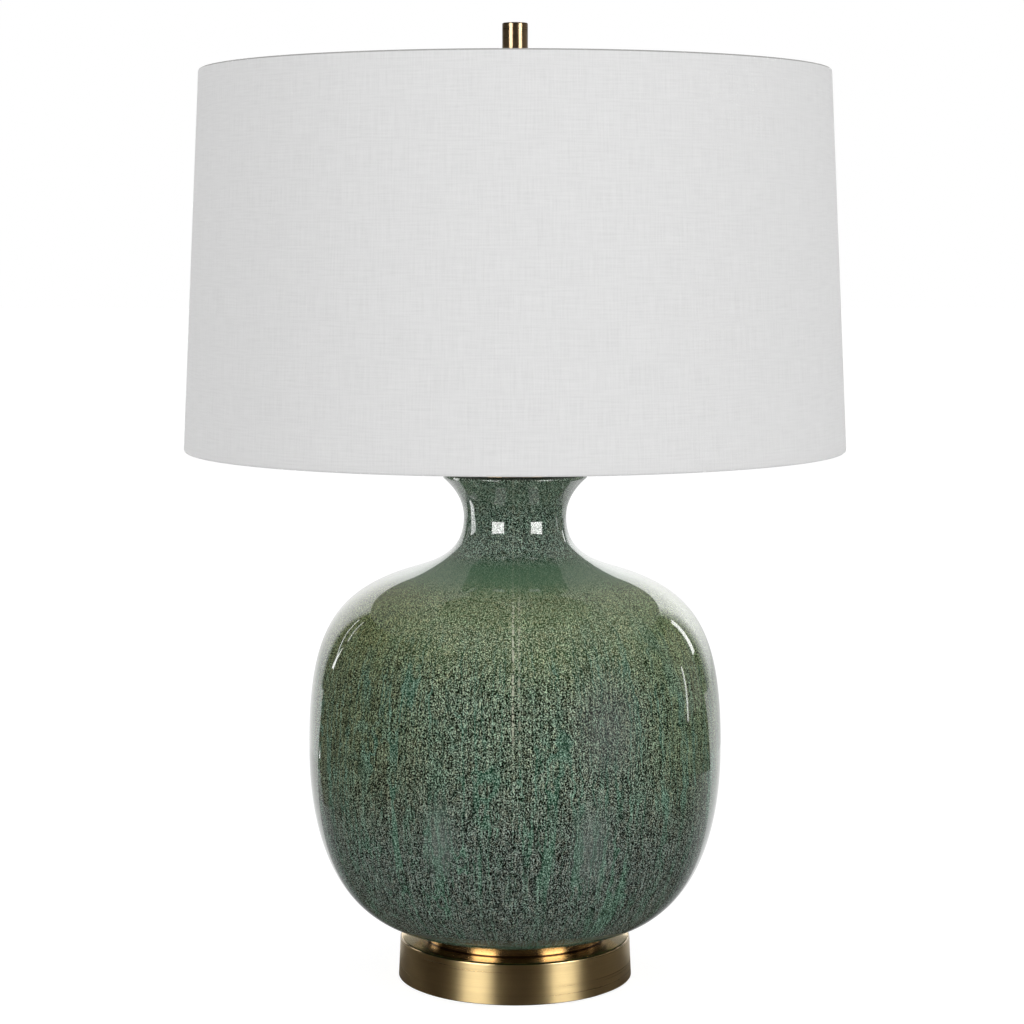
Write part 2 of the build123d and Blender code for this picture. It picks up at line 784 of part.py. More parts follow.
# The top hem is notched round each arm.
with BuildPart() as shade_top_hem:
    revolve(hem_section(shade_top, -1), axis=Axis.Z)
    for angle in arm_angles:
        with BuildSketch(arm_plane(angle)):
            Circle(arm_radius + seat_gap)
        extrude(amount=arm_run.length, mode=Mode.SUBTRACT)
save(shade_top_hem, "shade_top_hem")

# Finial: a plain turned cap nut on the harp's stud
finial_top = finial_bottom + finial_height
finial_bore = stud_radius + thread_gap
finial_section = section(
    (finial_bore, finial_bottom),
    (finial_radius, finial_bottom),
    (finial_radius, finial_top),
    (0, finial_top),
    (0, finial_bottom + finial_thread_depth),
    (finial_bore, finial_bottom + finial_thread_depth),
)
with BuildPart() as finial:
    revolve(finial_section, axis=Axis.Z)
    outer_edges = finial.edges().filter_by(GeomType.CIRCLE).group_by(SortBy.RADIUS)[-1]
    fillet(outer_edges, radius=finial_round)
save(finial, "finial")
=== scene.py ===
import math

import bmesh
import bpy
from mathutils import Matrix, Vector


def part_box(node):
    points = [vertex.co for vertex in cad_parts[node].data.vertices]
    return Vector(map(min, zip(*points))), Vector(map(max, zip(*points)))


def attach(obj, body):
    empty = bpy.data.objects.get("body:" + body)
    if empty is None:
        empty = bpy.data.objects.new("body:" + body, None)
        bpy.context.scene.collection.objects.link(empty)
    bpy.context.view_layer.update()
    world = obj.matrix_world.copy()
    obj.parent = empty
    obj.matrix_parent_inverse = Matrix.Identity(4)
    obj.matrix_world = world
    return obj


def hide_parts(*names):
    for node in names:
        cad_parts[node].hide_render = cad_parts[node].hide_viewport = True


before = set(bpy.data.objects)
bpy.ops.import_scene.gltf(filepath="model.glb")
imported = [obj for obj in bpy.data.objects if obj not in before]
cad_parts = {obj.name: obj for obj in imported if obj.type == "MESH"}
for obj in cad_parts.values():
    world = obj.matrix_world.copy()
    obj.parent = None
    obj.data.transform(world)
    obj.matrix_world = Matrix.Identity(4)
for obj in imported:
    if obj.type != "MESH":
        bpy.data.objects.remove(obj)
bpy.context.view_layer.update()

# A table lamp: the finishes of its solids, the glazed vessel and the shade's linen as meshes, and the studio
mm = 0.001

# Ceramic outline: stations from the foot up as (radius, height), with the way the wall leans there in degrees
# and the pull of the curve's handles as shares of the span
foot = (66.0 * mm, 36.2 * mm)
belly = (144.4 * mm, 161.9 * mm)
shoulder = (80.0 * mm, 286.7 * mm)
waist = (35.7 * mm, 326.2 * mm)
lip = (49.5 * mm, 353.0 * mm)
foot_way = 4.3
upright = 90.0
shoulder_way = 162.1
lip_way = 41.1
foot_pull = 0.515
belly_low_pull = 0.153
belly_high_pull = 0.533
shoulder_low_pull = 0.389
shoulder_high_pull = 0.410
waist_low_pull = 0.456
waist_high_pull = 0.399
lip_pull = 0.288
ceramic_wall = 5.0 * mm
rim_round = 2.5 * mm
rim_land = 2.5 * mm
bore_depth = 5.3 * mm
rod_hole = 5.15 * mm
vessel_sides = 288

# Shade
shade_thread = 0.78 * mm
linen_thickness = 0.7 * mm
hem_width = 14.0 * mm
hem_ramp = 3.0 * mm
rim_width = 6.4 * mm
outer_corner = 1.3 * mm
inner_corner = 1.9 * mm
seam_lap = 13.0 * mm
seam_step = 0.45 * mm
seam_edge = 0.5 * mm
seam_angle = math.pi / 2
linen_sides = 360
linen_rows = 40

shade_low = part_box("shade_bottom_hem")[0].z
shade_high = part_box("shade_top_hem")[1].z
shade_low_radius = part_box("shade_bottom_hem")[1].x
shade_high_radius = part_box("shade_top_hem")[1].x

# Glaze: heights from which and to which one look gives way to the next
grey_to_green = (0.100, 0.210)
green_to_olive = (0.210, 0.272)
olive_ends = (0.284, 0.300)
throat_begins = (0.292, 0.306)
brim_begins = (0.328, 0.346)
# The rim's top is painted dark from here up, a painted reflection
painted_rim_reflection_heights = (0.3552, 0.3562)
hairs_begin = (0.265, 0.205)
runs_begin = (0.280, 0.225)
root_pool_begins = (0.2790, 0.2905)
root_pool_ends = (0.2945, 0.3040)
foot_pool_ends = (0.038, 0.050)
brown_begins = (0.10, 0.18)
reflection_line_begins = (0.170, 0.215)
reflection_line_fades = (0.27, 0.29)

# Glaze: noise scales, in features per metre
speck_scale = 2200
fine_scale = 1700
hair_scale = 950
dot_scale = 500
hue_scale = 420
wander_scale = 190
thin_run_scale = 190
reflection_line_wave_scale = 150
broad_run_scale = 85
sway_scale = 70
ripple_scale = 60
patch_scale = 34
drift_scale = 24

# Glaze: how much of the height each noise sees, so that a small share draws it out down the wall
grain_draw = 0.75
slow_draw = 0.6
ripple_draw = 0.5
drift_draw = 0.45
hair_draw = 0.05
thin_run_draw = 0.05
broad_run_draw = 0.06

# Glaze: how far each noise pushes
speck_level = -0.02
speck_gain = 6.0
fine_gain = 2.4
hair_gain = 1.25
sway_reach = 0.006
wander_reach = 0.004
drift_reach = 0.05
reflection_line_wave = 0.0014
jag_gain = 0.03

# Glaze: levels or places at which a mark is none and full, and its greatest share
broad_run_edge = (0.044, 0.016)
broad_run_share = 0.90
thin_run_edge = (0.050, 0.014)
thin_run_share = 0.70
run_patch_edge = (0.38, 0.55)
run_patch_least = 0.50
left_brown_edge = (-0.03, -0.105)
right_brown_edge = (0.07, 0.115)
front_edge = (0.0, -0.05)
reflection_line_edge = (0.0010, 0.0004)
reflection_dot_edge = (0.40, 0.55)
pool_share = 0.70
painted_rim_reflection_share = 0.9

# Glaze: display colours of the dark specks, the ground and the pale dots, and where each stands on the grain
tone_stops = (0.15, 0.50, 0.85)
olive_tones = ((46, 63, 37), (120, 141, 107), (220, 236, 194))
green_tones = ((0, 7, 0), (83, 99, 77), (203, 225, 199))
grey_tones = ((0, 2, 0), (62, 73, 66), (176, 190, 180))
throat_tones = ((20, 40, 28), (107, 129, 112), (208, 232, 216))
brim_tones = ((36, 54, 41), (105, 122, 108), (194, 214, 195))
mint_tones = ((24, 56, 40), (84, 116, 97), (168, 206, 184))
pool_tone = (84, 121, 93)
painted_rim_reflection_tone = (30, 34, 26)
reflection_line_tone = (206, 208, 186)

# Glaze: casts that tint the ground
warm_cast = (1.07, 0.98, 0.90, 1)
no_cast = (1, 1, 1, 1)
cool_cast = (0.92, 1.02, 0.97, 1)
left_brown = (0.76, 0.72, 0.58, 1)
right_brown = (0.88, 0.89, 0.74, 1)

# Glaze: painted reflections, as pale patches (across, up, half width, half height, tone) and as lines
# (across, strength)
reflection_patches = (
    (-0.049, 0.126, 0.016, 0.040, (136, 150, 142)),
    (0.050, 0.122, 0.020, 0.046, (132, 144, 138)),
    (0.060, 0.200, 0.034, 0.052, (116, 114, 118)),
)
reflection_patch_share = 0.30
reflection_lines = ((-0.0014, 0.75), (0.0026, 0.45))

# Linen
cloth_radius = 222.2 * mm
slub_scale = 900
slub_draw = 0.05
weave_wander_scale = 90
weave_wander = 5.0
weave_relief = 0.35
slub_relief = 0.9
weave_tint = 0.05
slub_tint = 0.42
linen_tones = ((0.25, (229, 229, 229)), (0.42, (237, 237, 237)), (0.60, (243, 243, 243)))
# Painted shade along the linen's upper rim: its tone, its share, and how far below the top and inside the
# wall it reaches
painted_rim_shade_tone = (128, 127, 124)
rim_shade_share = 0.75
rim_shade_below_top = (1.3 * mm, 0.6 * mm)
rim_shade_inside_wall = (2.2 * mm, 1.2 * mm)

# Brass
line_scale = 1100
line_radius = 0.08
line_drift = 0.006
patina_scale = 38
# Painted shade in the brass: its tone and the softness of its edges
painted_shade_tone = (46, 30, 18)
shade_band_edge = 0.2 * mm
polish_edge = 1.0 * mm
polish_share = 0.45

# Camera
lens_mm = 91.85
sensor_mm = 36.0
camera_place = (-0.0021, -1.8129, 0.5129)
camera_tilt = 0.1011


def paint(red, green, blue):
    """A display colour of 0 to 255 as linear light."""
    def linear(level):
        share = level / 255
        return share / 12.92 if share <= 0.04045 else ((share + 0.055) / 1.055) ** 2.4
    return (linear(red), linear(green), linear(blue), 1.0)


class Finish:
    """A node material round one principled shader, with short calls for the nodes that feed it."""

    def __init__(self, name):
        self.material = bpy.data.materials.new(name)
        self.material.use_nodes = True
        self.tree = self.material.node_tree
        self.shader = self.tree.nodes["Principled BSDF"]
        self.place = self.node("ShaderNodeTexCoord").outputs["Object"]

    def node(self, kind, **settings):
        made = self.tree.nodes.new(kind)
        for key, value in settings.items():
            setattr(made, key, value)
        return made

    def feed(self, socket, value):
        """Link an output to a socket, or set a plain value on it."""
        if isinstance(value, bpy.types.NodeSocket):
            self.tree.links.new(value, socket)
        else:
            socket.default_value = value

    def set(self, values):
        """Feed the shader's inputs by name and give the finished material."""
        for name, value in values.items():
            self.feed(self.shader.inputs[name], value)
        return self.material

    def math(self, operation, first, second=0.0):
        made = self.node("ShaderNodeMath", operation=operation)
        self.feed(made.inputs[0], first)
        self.feed(made.inputs[1], second)
        return made.outputs[0]

    def scaled(self, vector, amounts):
        made = self.node("ShaderNodeVectorMath", operation="MULTIPLY")
        self.feed(made.inputs[0], vector)
        made.inputs[1].default_value = amounts
        return made.outputs[0]

    def split(self, vector):
        made = self.node("ShaderNodeSeparateXYZ")
        self.feed(made.inputs[0], vector)
        return made.outputs

    def joined(self, x=0.0, y=0.0, z=0.0):
        made = self.node("ShaderNodeCombineXYZ")
        for socket, value in zip(made.inputs, (x, y, z)):
            self.feed(socket, value)
        return made.outputs[0]

    def noise(self, vector, scale, detail=2.0, rough=0.5):
        made = self.node("ShaderNodeTexNoise")
        self.feed(made.inputs["Vector"], vector)
        self.feed(made.inputs["Scale"], scale)
        self.feed(made.inputs["Detail"], detail)
        self.feed(made.inputs["Roughness"], rough)
        return made.outputs["Fac"]

    def ramp(self, value, *stops):
        """A colour ramp through (position, colour) stops."""
        made = self.node("ShaderNodeValToRGB")
        self.feed(made.inputs[0], value)
        points = made.color_ramp.elements
        while len(points) < len(stops):
            points.new(1.0)
        for point, (position, colour) in zip(points, stops):
            point.position = position
            point.color = colour
        return made.outputs["Color"]

    def blend(self, share, first, second, how="MIX"):
        made = self.node("ShaderNodeMix", data_type="RGBA", blend_type=how)
        factor, first_colour, second_colour = (made.inputs[k] for k in (0, 6, 7))
        self.feed(factor, share)
        self.feed(first_colour, first)
        self.feed(second_colour, second)
        return made.outputs[2]

    def step(self, value, low, high, first=0.0, last=1.0):
        """A smooth step from first to last as the value goes from low to high."""
        made = self.node("ShaderNodeMapRange", interpolation_type="SMOOTHSTEP")
        for socket, level in zip(made.inputs, (value, low, high, first, last)):
            self.feed(socket, level)
        return made.outputs[0]

    def bump(self, height, strength, depth):
        made = self.node("ShaderNodeBump")
        self.feed(made.inputs["Height"], height)
        self.feed(made.inputs["Strength"], strength)
        self.feed(made.inputs["Distance"], depth)
        return made.outputs["Normal"]

    def radius(self):
        """Distance from the lamp's axis."""
        flat = self.node("ShaderNodeVectorMath", operation="LENGTH")
        self.feed(flat.inputs[0], self.scaled(self.place, (1, 1, 0)))
        return flat.outputs["Value"]

    def round_the_axis(self, radius):
        """The place on a circle of one radius about the axis, at height 0."""
        unit = self.node("ShaderNodeVectorMath", operation="NORMALIZE")
        self.feed(unit.inputs[0], self.scaled(self.place, (1, 1, 0)))
        return self.scaled(unit.outputs[0], (radius, radius, 0))

    def added(self, first, second):
        made = self.node("ShaderNodeVectorMath", operation="ADD")
        self.feed(made.inputs[0], first)
        self.feed(made.inputs[1], second)
        return made.outputs[0]


def glaze():
    """Clear, glossy running glaze: dark specks and pale dots, olive at the shoulder, grey at the foot, with
    painted reflections on the front and at the rim.
    """
    f = Finish("glaze")
    x, y, height = f.split(f.place)
    grain = f.scaled(f.place, (1, 1, grain_draw))
    slow = f.scaled(f.place, (1, 1, slow_draw))
    around = f.round_the_axis(belly[0])

    def swing(value, gain):
        """A noise about zero, times a gain."""
        return f.math("MULTIPLY", f.math("SUBTRACT", value, 0.5), gain)

    def total(*values):
        summed = values[0]
        for value in values[1:]:
            summed = f.math("ADD", summed, value)
        return summed

    def product(*values):
        result = values[0]
        for value in values[1:]:
            result = f.math("MULTIPLY", result, value)
        return result

    def running(share, scale, sideways):
        """Noise that runs down the wall, drawn out by the inverse of the share and led sideways."""
        fall = f.joined(sideways, sideways, f.math("MULTIPLY", height, share))
        return f.noise(f.added(around, fall), scale, detail=0.0)

    def speckle(tones):
        """The specks, ground and dots of one part of the wall."""
        return f.ramp(level, *zip(tone_stops, (paint(*tone) for tone in tones)))

    # Two fine grains, and hairs that run down the wall, make the specks and dots
    sway = swing(f.noise(slow, sway_scale, detail=1.0), sway_reach)
    wander = total(sway, swing(f.noise(slow, wander_scale, detail=1.0), wander_reach))
    hairs = swing(running(hair_draw, hair_scale, sway), hair_gain)
    hairs = product(hairs, f.step(height, *hairs_begin, 0.40, 1.0))
    specks = swing(f.noise(grain, speck_scale, detail=0.0), speck_gain)
    fine = f.noise(grain, fine_scale, detail=0.0)
    level = total(speck_level, specks, swing(fine, fine_gain), hairs)

    # Grey at the foot, green round the belly, olive at the shoulder, each fading unevenly into the next
    patchy = f.noise(f.scaled(f.place, (1, 1, drift_draw)), drift_scale, detail=3.0, rough=0.55)
    drifted = f.math("ADD", height, swing(patchy, drift_reach))
    colour = f.blend(f.step(drifted, *grey_to_green), speckle(grey_tones), speckle(green_tones))
    olive_share = product(f.step(drifted, *green_to_olive), f.step(height, *olive_ends, 1.0, 0.0))
    colour = f.blend(olive_share, colour, speckle(olive_tones))
    colour = f.blend(f.step(height, *throat_begins), colour, speckle(throat_tones))
    colour = f.blend(f.step(height, *brim_begins), colour, speckle(brim_tones))

    # Warm and cool drifts, and the upper wall darker and browner towards its left and right sides
    hue = f.noise(slow, hue_scale, detail=2.0, rough=0.6)
    drift = f.ramp(hue, (0.34, warm_cast), (0.50, no_cast), (0.66, cool_cast))
    colour = f.blend(1.0, colour, drift, "MULTIPLY")
    high_wall = f.step(height, *brown_begins)
    for edge, cast in ((left_brown_edge, left_brown), (right_brown_edge, right_brown)):
        colour = f.blend(product(f.step(x, *edge), high_wall), colour, cast, "MULTIPLY")

    # Mint runs, broad and thin, that wander down the wall with the same grain in them
    jag = swing(fine, jag_gain)
    broad_run = f.math("ABSOLUTE", swing(running(broad_run_draw, broad_run_scale, wander), 1.0))
    thin_run = f.math("ABSOLUTE", swing(running(thin_run_draw, thin_run_scale, wander), 1.0))
    runs = f.math(
        "MAXIMUM",
        f.step(total(broad_run, jag), *broad_run_edge, 0.0, broad_run_share),
        f.step(total(thin_run, jag), *thin_run_edge, 0.0, thin_run_share),
    )
    patches = f.noise(f.place, patch_scale, detail=1.0)
    run_patches = f.step(patches, *run_patch_edge, run_patch_least, 1.0)
    run_share = product(runs, run_patches, f.step(height, *runs_begin, 0.15, 1.0))
    colour = f.blend(run_share, colour, speckle(mint_tones))

    # Painted reflections on the front: pale soft patches on the belly, and a faint dotted pale line down its
    # middle
    front = f.step(y, *front_edge)
    for across, up, half_width, half_height, tone in reflection_patches:
        aside = f.math("MULTIPLY", f.math("SUBTRACT", x, across), 1 / half_width)
        above = f.math("MULTIPLY", f.math("SUBTRACT", height, up), 1 / half_height)
        away = f.math("SQRT", total(product(aside, aside), product(above, above)))
        patch_reflection = product(f.step(away, 1.0, 0.0, 0.0, reflection_patch_share), front)
        colour = f.blend(patch_reflection, colour, paint(*tone))
    # The dotted line is a painted reflection, drawn down the front's middle
    reflection_line_reach = product(f.step(height, *reflection_line_begins), f.step(height, *reflection_line_fades, 1.0, 0.3))
    waved = swing(f.noise(f.place, reflection_line_wave_scale), reflection_line_wave)
    dots = f.noise(f.place, dot_scale, detail=1.0)
    for across, strength in reflection_lines:
        aside = f.math("ABSOLUTE", total(f.math("SUBTRACT", x, across), waved))
        dotted = f.step(dots, *reflection_dot_edge, 0.0, strength)
        seam = product(f.step(aside, *reflection_line_edge), dotted, front, reflection_line_reach)
        colour = f.blend(seam, colour, paint(*reflection_line_tone))

    # The glaze pools clear and plain green at the neck's root and at the foot; the top of the rim is painted
    # dark, a painted reflection of the shade's dark underside
    root_pool = product(f.step(height, *root_pool_begins), f.step(height, *root_pool_ends, 1.0, 0.0))
    pool = f.math("MAXIMUM", root_pool, f.step(height, *foot_pool_ends, 1.0, 0.0))
    colour = f.blend(f.math("MULTIPLY", pool, pool_share), colour, paint(*pool_tone))
    colour = f.blend(f.step(height, *painted_rim_reflection_heights, 0.0, painted_rim_reflection_share), colour, paint(*painted_rim_reflection_tone))
    ripple = f.noise(f.scaled(f.place, (1, 1, ripple_draw)), ripple_scale)
    return f.set({
        "Base Color": colour,
        "Roughness": 0.045,
        "IOR": 1.52,
        "Normal": f.bump(ripple, strength=0.04, depth=0.0006),
    })


def brass(name, rough, brushed, tone=(188, 166, 122), polished_above=None, shade_bands=(), depth=1.0):
    """Antique brass brushed round the axis, polished above a height if given, with painted shade darkening
    any bands of height given.
    """
    f = Finish(name)
    height = f.split(f.place)[2]
    across = f.joined(f.radius(), 0, height)
    along = f.scaled(f.round_the_axis(line_radius), (line_drift, line_drift, 0))
    lines = f.noise(f.added(across, along), line_scale, detail=2.0, rough=0.6)
    patina = f.noise(f.place, patina_scale, detail=4.0, rough=0.6)
    mixed = f.math("ADD", f.math("MULTIPLY", lines, 0.5), f.math("MULTIPLY", patina, 0.5))
    darker = [level * 0.95 for level in tone]
    lighter = [level * 1.05 for level in tone]
    shade = f.ramp(mixed, (0.30, paint(*darker)), (0.50, paint(*tone)), (0.70, paint(*lighter)))
    # Painted shade: dark bands at the given heights, each to its depth
    for low, high in shade_bands:
        over_low = f.step(height, low - shade_band_edge, low)
        under_high = f.step(height, high, high + shade_band_edge, 1.0, 0.0)
        within = f.math("MULTIPLY", over_low, under_high)
        shade = f.blend(f.math("MULTIPLY", within, depth), shade, paint(*painted_shade_tone))
    grain = f.step(lines, 0.25, 0.75, rough - 0.03, rough + 0.03)
    if polished_above:
        polish = f.step(height, polished_above, polished_above + polish_edge, 1.0, polish_share)
        grain = f.math("MULTIPLY", grain, polish)
    tangent = f.node("ShaderNodeTangent", direction_type="RADIAL", axis="Z").outputs[0]
    return f.set({
        "Base Color": shade,
        "Metallic": 1.0,
        "Roughness": grain,
        "Anisotropic": brushed,
        "Anisotropic Rotation": 0.25,
        "Tangent": tangent,
        "Normal": f.bump(lines, strength=0.03, depth=0.00002),
    })


def linen():
    """Plain-woven white linen with slubs in both thread directions."""
    f = Finish("linen")
    x, y, z = f.split(f.place)
    around = f.math("MULTIPLY", f.math("ARCTAN2", x, f.math("MULTIPLY", y, -1.0)), cloth_radius)
    cloth = f.joined(around, z, 0)
    wander = f.math("MULTIPLY", f.noise(cloth, weave_wander_scale), weave_wander)
    turn = 2 * math.pi / shade_thread
    warp_phase = f.math("ADD", f.math("MULTIPLY", around, turn), wander)
    weft_phase = f.math("ADD", f.math("MULTIPLY", z, turn), wander)
    weave = f.math("MULTIPLY", f.math("SINE", warp_phase), f.math("SINE", weft_phase))
    weft_slub = f.noise(f.scaled(cloth, (slub_draw, 1, 1)), slub_scale, detail=3.0, rough=0.6)
    warp_slub = f.noise(f.scaled(cloth, (1, slub_draw, 1)), slub_scale, detail=3.0, rough=0.6)
    slubs = f.math("ADD", weft_slub, warp_slub)
    relief = f.math("ADD", f.math("MULTIPLY", weave, weave_relief), f.math("MULTIPLY", slubs, slub_relief))
    tint = f.math("ADD", f.math("MULTIPLY", slubs, slub_tint), f.math("MULTIPLY", weave, weave_tint))
    tone = f.ramp(tint, *((stop, paint(*colour)) for stop, colour in linen_tones))

    # Painted shade: a grey line along the linen's upper edge, where the rolled rim turns up away from the
    # light
    top_edge = f.step(z, *(shade_high - depth for depth in rim_shade_below_top))
    outer_edge = f.step(f.radius(), *(shade_high_radius - depth for depth in rim_shade_inside_wall))
    rim_shade = f.math("MULTIPLY", top_edge, outer_edge)
    tone = f.blend(f.math("MULTIPLY", rim_shade, rim_shade_share), tone, paint(*painted_rim_shade_tone))
    return f.set({
        "Base Color": tone,
        "Roughness": 0.9,
        "Specular IOR Level": 0.2,
        "Sheen Weight": 0.15,
        "Sheen Roughness": 0.6,
        "Normal": f.bump(relief, strength=0.24, depth=0.0002),
    })


def speckled(name, dark, light, scale, rough, metal=0.0, depth=0.0001, strength=0.2, spread=0.06):
    """A plain material with noise in its colour, roughness and surface."""
    f = Finish(name)
    grain = f.noise(f.place, scale, detail=4.0, rough=0.6)
    drift = f.noise(f.place, scale / 12, detail=3.0, rough=0.5)
    mixed = f.math("ADD", f.math("MULTIPLY", grain, 0.6), f.math("MULTIPLY", drift, 0.4))
    return f.set({
        "Base Color": f.ramp(mixed, (0.32, paint(*dark)), (0.68, paint(*light))),
        "Metallic": metal,
        "Roughness": f.step(mixed, 0.3, 0.7, rough - spread, rough + spread),
        "Normal": f.bump(grain, strength, depth),
    })


def way(angle):
    """The unit direction of an angle in the half section, from outward towards up."""
    turn = math.radians(angle)
    return Vector((math.cos(turn), math.sin(turn)))


def swell(start, start_way, start_pull, end, end_way, end_pull, steps):
    """Points of a cubic curve between two stations, whose handles are shares of their distance."""
    first, last = Vector(start), Vector(end)
    span = (last - first).length
    first_handle = first + way(start_way) * start_pull * span
    last_handle = last - way(end_way) * end_pull * span
    points = []
    for k in range(steps):
        t = k / steps
        s = 1 - t
        points.append(s**3 * first + 3 * s * s * t * first_handle + 3 * s * t * t * last_handle + t**3 * last)
    return points


def arc(center, radius, first_angle, last_angle, steps):
    """Points of an arc in the half section, both ends included."""
    turn = last_angle - first_angle
    return [Vector(center) + way(first_angle + turn * k / steps) * radius for k in range(steps + 1)]


def inset(points, depth):
    """The outline moved to its left by a depth."""
    moved = []
    for k, point in enumerate(points):
        ahead = points[min(k + 1, len(points) - 1)] - points[max(k - 1, 0)]
        moved.append(point + Vector((-ahead.y, ahead.x)).normalized() * depth)
    return moved


def lathe(name, outline, material, angles=240, sharp=40):
    """A closed mesh turned about the lamp's axis from a closed half section."""
    if isinstance(angles, int):
        angles = [2 * math.pi * k / angles for k in range(angles)]
    work = bmesh.new()
    rings = [
        [work.verts.new((p[0] * math.cos(a), p[0] * math.sin(a), p[1])) for a in angles] for p in outline
    ]
    for low, high in zip(rings, rings[1:] + rings[:1]):
        for k in range(len(angles)):
            work.faces.new((low[k - 1], low[k], high[k], high[k - 1]))
    bmesh.ops.recalc_face_normals(work, faces=work.faces)
    mesh = bpy.data.meshes.new(name)
    work.to_mesh(mesh)
    work.free()
    mesh.shade_smooth()
    mesh.set_sharp_from_angle(angle=math.radians(sharp))
    mesh.materials.append(material)
    piece = bpy.data.objects.new(name, mesh)
    bpy.context.scene.collection.objects.link(piece)
    return piece


# Glazed vessel
def inside(station, angle):
    """The point of the inner wall that faces a station of the outline."""
    return Vector(station) + way(angle + 90) * ceramic_wall


def vessel_outline():
    """The half section: up the outside from the foot, over the rim and back down inside the wall."""
    rim_center = Vector(lip) + way(lip_way + 90) * rim_round
    mouth_center = rim_center - Vector((rim_land, 0))
    mouth = mouth_center - Vector((rim_round, 0))
    bore_end = Vector((mouth.x, rim_center.y + rim_round - bore_depth))
    inner_waist = inside(waist, upright)
    inner_shoulder = inside(shoulder, shoulder_way)
    inner_belly = inside(belly, upright)
    floor_edge = inside(foot, foot_way)
    down = -upright
    shoulder_down = shoulder_way - 180
    foot_in = foot_way - 180
    return (
        swell(foot, foot_way, foot_pull, belly, upright, belly_low_pull, 64)
        + swell(belly, upright, belly_high_pull, shoulder, shoulder_way, shoulder_low_pull, 72)
        + swell(shoulder, shoulder_way, shoulder_high_pull, waist, upright, waist_low_pull, 48)
        + swell(waist, upright, waist_high_pull, lip, lip_way, lip_pull, 40)
        + arc(rim_center, rim_round, lip_way - 90, 90, 16)
        + arc(mouth_center, rim_round, 90, 180, 10)
        + swell(bore_end, down, lip_pull, inner_waist, down, waist_high_pull, 16)
        + swell(inner_waist, down, waist_low_pull, inner_shoulder, shoulder_down, shoulder_high_pull, 20)
        + swell(inner_shoulder, shoulder_down, shoulder_low_pull, inner_belly, down, belly_high_pull, 28)
        + swell(inner_belly, down, belly_low_pull, floor_edge, foot_in, foot_pull, 24)
        + [floor_edge, Vector((rod_hole, floor_edge.y)), Vector((rod_hole, foot[1]))]
    )


vessel = lathe("glazed_vessel", vessel_outline(), glaze(), vessel_sides)
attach(vessel, "root")
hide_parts("ceramic_body")


# Linen: one strip over the shade's wall, turned over the wire at each rim and back against the liner
def wall_at(height):
    """Outer radius of the shade at a height."""
    share = (height - shade_low) / (shade_high - shade_low)
    return shade_low_radius + (shade_high_radius - shade_low_radius) * share


def rim_outline(rim, inward):
    """The middle of the linen from the wall over a rim to its hem's end. Inward is 1 at the lower rim."""
    middle = linen_thickness / 2
    face = wall_at(rim) - middle
    level = rim + inward * middle
    inner = wall_at(rim) - rim_width + middle
    quarter = -90 if inward > 0 else 90
    outer_center = (face - outer_corner, level + inward * outer_corner)
    inner_center = (inner + inner_corner, level + inward * inner_corner)
    outer_turn = arc(outer_center, outer_corner, 0, quarter, 6)
    inner_turn = arc(inner_center, inner_corner, quarter, 2 * quarter, 8)
    ramp_end = rim + inward * (inner_corner + 2 * hem_ramp)
    hem_end = rim + inward * hem_width
    hem_face = rim_width - hem_ramp
    hem = [Vector((wall_at(height) - hem_face + middle, height)) for height in (ramp_end, hem_end)]
    return outer_turn + inner_turn + hem


def linen_outline():
    """The linen's closed half section, with its thickness, from one hem's end to the other's."""
    lower = rim_outline(shade_low, 1)
    upper = rim_outline(shade_high, -1)
    rise = upper[0] - lower[0]
    between = [lower[0] + rise * k / linen_rows for k in range(1, linen_rows)]
    middle = lower[::-1] + between + upper
    half = linen_thickness / 2
    return inset(middle, -half) + inset(middle, half)[::-1]


def linen_angles():
    """Even steps round the shade, with two close rows at the lap of the seam."""
    even = [2 * math.pi * k / linen_sides for k in range(linen_sides)]
    lap_start = seam_angle
    lap_end = seam_angle + seam_lap / shade_low_radius
    edge = seam_edge / shade_low_radius
    return sorted(set(even + [lap_start - edge, lap_end + 4 * edge])), lap_start, lap_end


def linen_shade():
    """The linen, raised on its outer face where it laps over itself at the seam."""
    angles, lap_start, lap_end = linen_angles()
    piece = lathe("linen_shade", linen_outline(), linen(), angles, sharp=50)
    slack = 1e-6
    for vertex in piece.data.vertices:
        angle = math.atan2(vertex.co.y, vertex.co.x)
        lapped = lap_start - slack <= angle <= lap_end + slack
        if lapped and vertex.co.xy.length > wall_at(vertex.co.z) - linen_thickness * 0.6:
            share = 1 - 0.7 * (angle - lap_start) / (lap_end - lap_start)
            vertex.co.xy *= 1 + seam_step * share / vertex.co.xy.length
    return piece


shade = linen_shade()
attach(shade, "shade")
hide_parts("shade_linen", "shade_top_hem", "shade_bottom_hem")


# Finishes of the solids
def dress(material, *nodes):
    """Put a material on CAD nodes."""
    for node in nodes:
        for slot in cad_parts[node].material_slots:
            slot.material = material


plinth_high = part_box("base_plinth")[1].z
# Painted shade darkens the plinth's top edge
plinth_brass = brass(
    "plinth_brass", rough=0.30, brushed=0.8, polished_above=28.0 * mm,
    shade_bands=((plinth_high - 0.9 * mm, plinth_high - 0.25 * mm),), depth=0.7,
)
collar_low, collar_high = (corner.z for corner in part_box("base_collar"))
